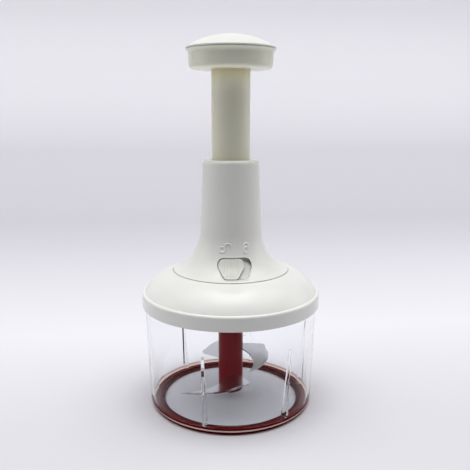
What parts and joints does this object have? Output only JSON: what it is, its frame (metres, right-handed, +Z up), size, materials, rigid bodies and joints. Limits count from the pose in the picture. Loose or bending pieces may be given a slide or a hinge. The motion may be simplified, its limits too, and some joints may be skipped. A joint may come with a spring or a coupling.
{
  "type": "plunger food chopper",
  "caption": "Hand-press food chopper: a palm knob drives a spiral shaft that spins stacked curved blades in a clear bowl, with a domed lid and a sliding lock.",
  "frame": {"origin": "centre of the base ring's underside, on the table", "axes": "+Z up along the axis of the plunger and the blades, -Y towards the side with the sliding lock"},
  "size_m": [0.15, 0.15, 0.307],
  "materials": {
    "clear_plastic": "clear moulded",
    "red_rubber": "soft satin",
    "steel": "ground",
    "red_plastic": "glossy moulded",
    "blade_steel": "polished",
    "white_plastic": "glossy moulded",
    "seal_rubber": "soft satin",
    "inner_plastic": "moulded",
    "screw_steel": "zinc plated",
    "tube_plastic": "glossy moulded",
    "knob_plastic": "glossy moulded",
    "cap_plastic": "glossy moulded",
    "button_plastic": "glossy moulded"
  },
  "bodies": {
    "bowl": {"bowl": "clear_plastic", "base_ring": "red_rubber", "centre_pin": "steel"},
    "blades": {"blade_hub": "red_plastic", "lower_blade": "blade_steel", "middle_blade": "blade_steel", "upper_blade": "blade_steel"},
    "lid": {"lid": "white_plastic", "lid_seal": "seal_rubber", "thrust_washer": "inner_plastic", "bearing_plate": "inner_plastic", "plate_screws": "screw_steel", "housing": "white_plastic", "housing_screws": "screw_steel", "return_spring": "steel"},
    "drive": {"drive_cup": "inner_plastic"},
    "shaft": {"spiral_shaft": "steel", "ratchet_driver": "inner_plastic"},
    "plunger": {"plunger_foot": "inner_plastic", "drive_nut": "inner_plastic", "plunger_tube": "tube_plastic", "knob_body": "knob_plastic", "knob_screws": "screw_steel", "knob_cap": "cap_plastic"},
    "lock": {"lock_button": "button_plastic", "lock_slider": "inner_plastic"}
  },
  "joints": [
    {"name": "lid_lift", "type": "slide", "parent": "bowl", "child": "lid", "axis": [0, 0, 1], "range_m": [0, 0.12]},
    {"name": "plunger_press", "type": "slide", "parent": "lid", "child": "plunger", "axis": [0, 0, -1], "range_m": [0, 0.068], "stiffness_N_per_m": 160, "springref_m": -0.03, "deforming": ["return_spring"]},
    {"name": "shaft_spin", "type": "hinge", "parent": "lid", "child": "shaft", "pos_m": [0, 0, 0.1], "axis": [0, 0, 1], "range_deg": [0, 720]},
    {"name": "drive_spin", "type": "hinge", "parent": "lid", "child": "drive", "pos_m": [0, 0, 0.1], "axis": [0, 0, 1], "range_deg": [0, 720]},
    {"name": "blade_spin", "type": "hinge", "parent": "bowl", "child": "blades", "pos_m": [0, 0, 0.03], "axis": [0, 0, 1], "range_deg": [0, 720]},
    {"name": "lock_slide", "type": "hinge", "parent": "lid", "child": "lock", "pos_m": [0, 0, 0.126], "axis": [0, 0, 1], "range_deg": [0, 10]}
  ],
  "couplings": [
    {"joint": "shaft_spin", "follows": "plunger_press", "rad_per_m": 182.12},
    {"joint": "drive_spin", "follows": "plunger_press", "rad_per_m": 182.12},
    {"joint": "blade_spin", "follows": "plunger_press", "rad_per_m": 182.12}
  ]
}
